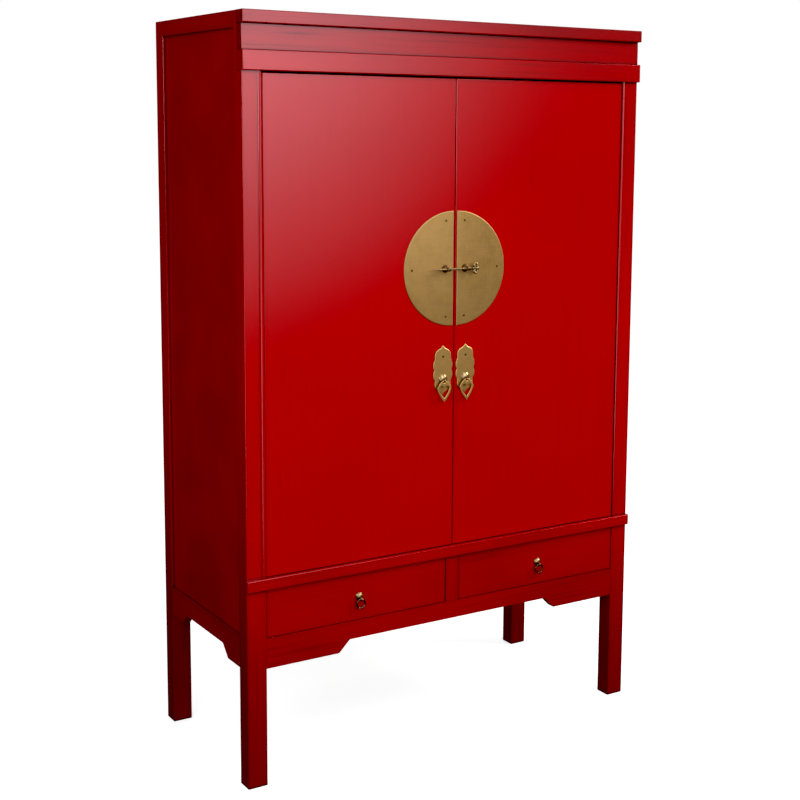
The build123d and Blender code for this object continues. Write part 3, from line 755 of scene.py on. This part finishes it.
class CABINET_OT_inside(bpy.types.Operator):
    """Ease and wax the shelves, runners and drawer boxes"""

    bl_idname = "cabinet.inside"
    bl_label = "Shelves and drawer boxes"

    def execute(self, context):
        draw = random.Random(WAX_SEED)
        ease = context.scene.cabinet_joinery.inside_ease
        for finish, nodes in WAXED.items():
            for node in nodes:
                board(node, made_finish(finish), ease, draw)
        return {"FINISHED"}


class CABINET_OT_brass(bpy.types.Operator):
    """Give the plates, studs, pin, drops and rings their brushed and polished brass"""

    bl_idname = "cabinet.brass"
    bl_label = "Brass"

    def execute(self, context):
        for side in SIDES:
            for part, finish in BRASS_OF.items():
                self.dress(f"{side}_{part}", finish)
        self.dress("lock_pin", "cast_brass")
        return {"FINISHED"}

    def dress(self, node, finish):
        """Give a brass piece of the frame its finish."""
        piece = frame["nodes"][node]
        piece.data.materials.clear()
        piece.data.materials.append(made_finish(finish))


class CABINET_OT_nails(bpy.types.Operator):
    """Drive the domed nails that hold the lock plates and the pull plates"""

    bl_idname = "cabinet.nails"
    bl_label = "Nails"

    LOCK_TURNS = [math.radians(degrees) for degrees in (79.5, 0.0, -79.5)]
    FROM_RIM = 0.021               # from the round rim of a lock plate to its nails
    FROM_TIP = 0.028               # from the top of a pull plate to its nail
    DOME = 0.42                    # how high a head stands, in its radius
    AROUND, UP = 24, 12            # faces round a head, and from pole to pole

    def execute(self, context):
        for side, sign in SIDES.items():
            low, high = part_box(f"{side}_lock_plate")
            split = low.x if sign > 0 else high.x
            ring = (high.z - low.z) / 2 - self.FROM_RIM
            for number, turn in enumerate(self.LOCK_TURNS, 1):
                x = split + sign * ring * math.cos(turn)
                z = (low.z + high.z) / 2 + ring * math.sin(turn)
                self.nail(f"{side}_lock_nail_{number}", Vector((x, low.y, z)), side)
            low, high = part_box(f"{side}_pull_plate")
            spot = Vector(((low.x + high.x) / 2, low.y, high.z - self.FROM_TIP))
            self.nail(f"{side}_pull_nail", spot, side)
        return {"FINISHED"}

    def nail(self, name, spot, side):
        """One domed nail in the brass of a door, its head towards the front."""
        radius = bpy.context.scene.cabinet_joinery.nail_radius
        bm = bmesh.new()
        bmesh.ops.create_uvsphere(
            bm, u_segments=self.AROUND, v_segments=self.UP, radius=radius,
        )
        bmesh.ops.rotate(bm, verts=bm.verts, matrix=Matrix.Rotation(math.pi / 2, 3, "X"))
        bmesh.ops.scale(bm, verts=bm.verts, vec=(1.0, self.DOME, 1.0))
        bmesh.ops.translate(bm, verts=bm.verts, vec=spot)
        bmesh.ops.recalc_face_normals(bm, faces=bm.faces)
        smooth_and_sharp(bm)
        finish_piece(name, bm, [made_finish("dark_brass")], f"{side}_door")


class CABINET_OT_stage(bpy.types.Operator):
    """Lay the pale floor, hang the soft lamps and stand the camera"""

    bl_idname = "cabinet.stage"
    bl_label = "Studio"

    DEEPEST = 0.012                # what is darker than this is shown black
    FLOOR_SIZE = 30.0
    FLOOR_TONES = (0.98, 1.0)
    FLOOR_GLOW = 0.72

    # The light of the room that falls on the cabinet, from below and from above.
    ROOM_SPAN = (-0.6, 0.5)
    ROOM_LIGHT = (0.04, 0.42)
    ROOM_SEEN, ROOM_SHONE = 1.0, 0.03

    WARM, COOL = (1.0, 0.985, 0.96), (0.96, 0.975, 1.0)
    AHEAD = (0.4, 0.0, 2.2)
    # Each lamp's place, what it looks at, its width, its power and the share of it, and its
    # colour. The front lamp is three discs, one before the other, brightest in the middle.
    LAMPS = {
        "key_lamp": ((4.2, -2.1, 3.2), (0.0, -0.2, 1.1), 1.3, "key_power", 1.0, WARM),
        "front_lamp": ((0.5, -3.16, 2.4), AHEAD, 3.4, "front_power", 0.46, COOL),
        "front_lamp_middle": ((0.5, -3.10, 2.4), AHEAD, 2.5, "front_power", 0.36, COOL),
        "front_lamp_core": ((0.5, -3.04, 2.4), AHEAD, 1.7, "front_power", 0.18, COOL),
        "fill_lamp": ((-2.2, -1.7, 1.9), (-0.4, -0.2, 1.2), 1.2, "fill_power", 1.0, COOL),
        "low_lamp": ((-0.8, -2.2, 0.6), (-0.2, -0.2, 0.7), 1.2, "low_power", 1.0, COOL),
        "top_lamp": ((0.3, -1.4, 3.1), (0.2, -0.3, 1.0), 1.9, "top_power", 1.0, COOL),
    }

    CAMERA_SPOT = (-1.84867, -3.04257, 1.50056)
    CAMERA_TURNS = (32.68, 7.67, -0.47)      # yaw, pitch and roll, in degrees
    IMAGE_WIDTH = 800.0                      # in pixels, like the next two
    FOCAL_LENGTH = 1418.14
    AXIS_AT = (438.29, 320.0)                # where the lens looks, from the top left corner
    SENSOR_WIDTH = 36.0                      # in millimetres

    def execute(self, context):
        self.lay_floor(context)
        self.hang_lamps(context)
        self.light_room(context)
        self.stand_camera(context)
        self.set_tones(context)
        return {"FINISHED"}

    def set_tones(self, context):
        """Deep blacks and clean reds, with no film curve over them."""
        view = context.scene.view_settings
        view.view_transform = "Standard"
        view.use_curve_mapping = True
        view.curve_mapping.black_level = (self.DEEPEST, self.DEEPEST, self.DEEPEST)
        view.curve_mapping.update()

    def lay_floor(self, context):
        """A pale floor that no other piece mirrors or takes light from."""
        bm = bmesh.new()
        bmesh.ops.create_grid(bm, x_segments=2, y_segments=2, size=self.FLOOR_SIZE)
        mesh = bpy.data.meshes.new("studio_floor")
        bm.to_mesh(mesh)
        bm.free()
        floor = bpy.data.objects.new("studio_floor", mesh)
        context.scene.collection.objects.link(floor)
        recipe = Recipe(bpy.data.materials.new("pale_floor"))
        mottle = recipe.noise(FLOOR_MOTTLE, recipe.place())
        tone = recipe.spread(mottle, FLOOR_MOTTLE.low, FLOOR_MOTTLE.high, *self.FLOOR_TONES)
        colour = recipe.mix(tone, BLACK, opaque(context.scene.cabinet_studio.floor))
        shader = recipe.add(
            "BsdfPrincipled",
            {
                "Base Color": colour, "Roughness": 0.9, "Specular IOR Level": 0.0,
                "Emission Color": WHITE, "Emission Strength": self.FLOOR_GLOW,
            },
        )
        mesh.materials.append(recipe.done(shader))
        floor.visible_glossy = False
        floor.visible_diffuse = False

    def hang_lamps(self, context):
        """Round soft lamps, each turned to what it lights."""
        for name, (spot, target, size, power, share, colour) in self.LAMPS.items():
            lamp = bpy.data.lights.new(name, "AREA")
            lamp.shape = "DISK"
            lamp.size = size
            lamp.energy = getattr(context.scene.cabinet_studio, power) * share
            lamp.color = colour
            lamp_object = bpy.data.objects.new(name, lamp)
            lamp_object.location = spot
            towards = Vector(target) - Vector(spot)
            lamp_object.rotation_euler = towards.to_track_quat("-Z", "Y").to_euler()
            context.scene.collection.objects.link(lamp_object)

    def light_room(self, context):
        """A white room to look at, a softer one to be lit by, and a dark one to shine back."""
        world = bpy.data.worlds.new("white_studio")
        context.scene.world = world
        recipe = Recipe(world)
        way = recipe.add("TexCoord").outputs["Generated"]
        height = recipe.add("SeparateXYZ", {0: way}).outputs["Z"]
        glow = recipe.spread(height, *self.ROOM_SPAN, *self.ROOM_LIGHT, curve="LINEAR")
        seen, lit, shone = (
            recipe.add("Background", {"Color": WHITE, "Strength": strength}).outputs[0]
            for strength in (self.ROOM_SEEN, glow, self.ROOM_SHONE)
        )
        ray = recipe.add("LightPath").outputs
        unseen = recipe.add("MixShader", {0: ray["Is Glossy Ray"], 1: lit, 2: shone})
        room = recipe.add("MixShader", {0: ray["Is Camera Ray"], 1: unseen.outputs[0], 2: seen})
        recipe.done(room, "OutputWorld")

    def stand_camera(self, context):
        """An eye at the left of the cabinet that looks a little down, its lens shifted."""
        yaw, pitch, roll = (math.radians(degrees) for degrees in self.CAMERA_TURNS)
        camera = bpy.data.cameras.new("camera")
        camera.sensor_width = self.SENSOR_WIDTH
        camera.lens = self.SENSOR_WIDTH * self.FOCAL_LENGTH / self.IMAGE_WIDTH
        camera.shift_x = (self.IMAGE_WIDTH / 2 - self.AXIS_AT[0]) / self.IMAGE_WIDTH
        camera.shift_y = (self.AXIS_AT[1] - self.IMAGE_WIDTH / 2) / self.IMAGE_WIDTH
        camera.dof.use_dof = False
        forward = Vector((
            math.sin(yaw) * math.cos(pitch), math.cos(yaw) * math.cos(pitch), -math.sin(pitch),
        ))
        right = Vector((math.cos(yaw), -math.sin(yaw), 0.0))
        down = forward.cross(right)
        tilted_right = right * math.cos(roll) + down * math.sin(roll)
        tilted_down = down * math.cos(roll) - right * math.sin(roll)
        turn = Matrix((tilted_right, -tilted_down, -forward)).transposed()
        stand = bpy.data.objects.new("camera", camera)
        stand.rotation_euler = turn.to_euler()
        stand.location = self.CAMERA_SPOT
        context.scene.collection.objects.link(stand)
        context.scene.camera = stand


class CABINET_PT_sidebar(bpy.types.Panel):
    """Lists the steps that dress the cabinet, and what a user may change"""

    bl_idname = "CABINET_PT_sidebar"
    bl_label = "Wedding cabinet"
    bl_space_type = "VIEW_3D"
    bl_region_type = "UI"
    bl_category = "Cabinet"

    def draw(self, context):
        for step in STEPS:
            self.layout.operator(step.bl_idname)
        for group in GROUPS:
            box = self.layout.box()
            settings = getattr(context.scene, group)
            for name in settings.__annotations__:
                box.prop(settings, name)


GROUPS = {
    "cabinet_lacquer": LacquerFinish,
    "cabinet_brass": BrassFinish,
    "cabinet_wood": WoodFinish,
    "cabinet_joinery": JoinerySizes,
    "cabinet_studio": StudioLight,
}
STEPS = (
    CABINET_OT_boards,
    CABINET_OT_inside,
    CABINET_OT_brass,
    CABINET_OT_nails,
    CABINET_OT_stage,
)


def register():
    for group in GROUPS.values():
        bpy.utils.register_class(group)
    for step in STEPS:
        bpy.utils.register_class(step)
    bpy.utils.register_class(CABINET_PT_sidebar)
    for name, group in GROUPS.items():
        setattr(bpy.types.Scene, name, PointerProperty(type=group))


def unregister():
    for name in GROUPS:
        delattr(bpy.types.Scene, name)
    bpy.utils.unregister_class(CABINET_PT_sidebar)
    for step in reversed(STEPS):
        bpy.utils.unregister_class(step)
    for group in reversed(list(GROUPS.values())):
        bpy.utils.unregister_class(group)


def main():
    register()
    bpy.ops.cabinet.boards()
    bpy.ops.cabinet.inside()
    bpy.ops.cabinet.brass()
    bpy.ops.cabinet.nails()
    bpy.ops.cabinet.stage()


if __name__ == "__main__":
    main()
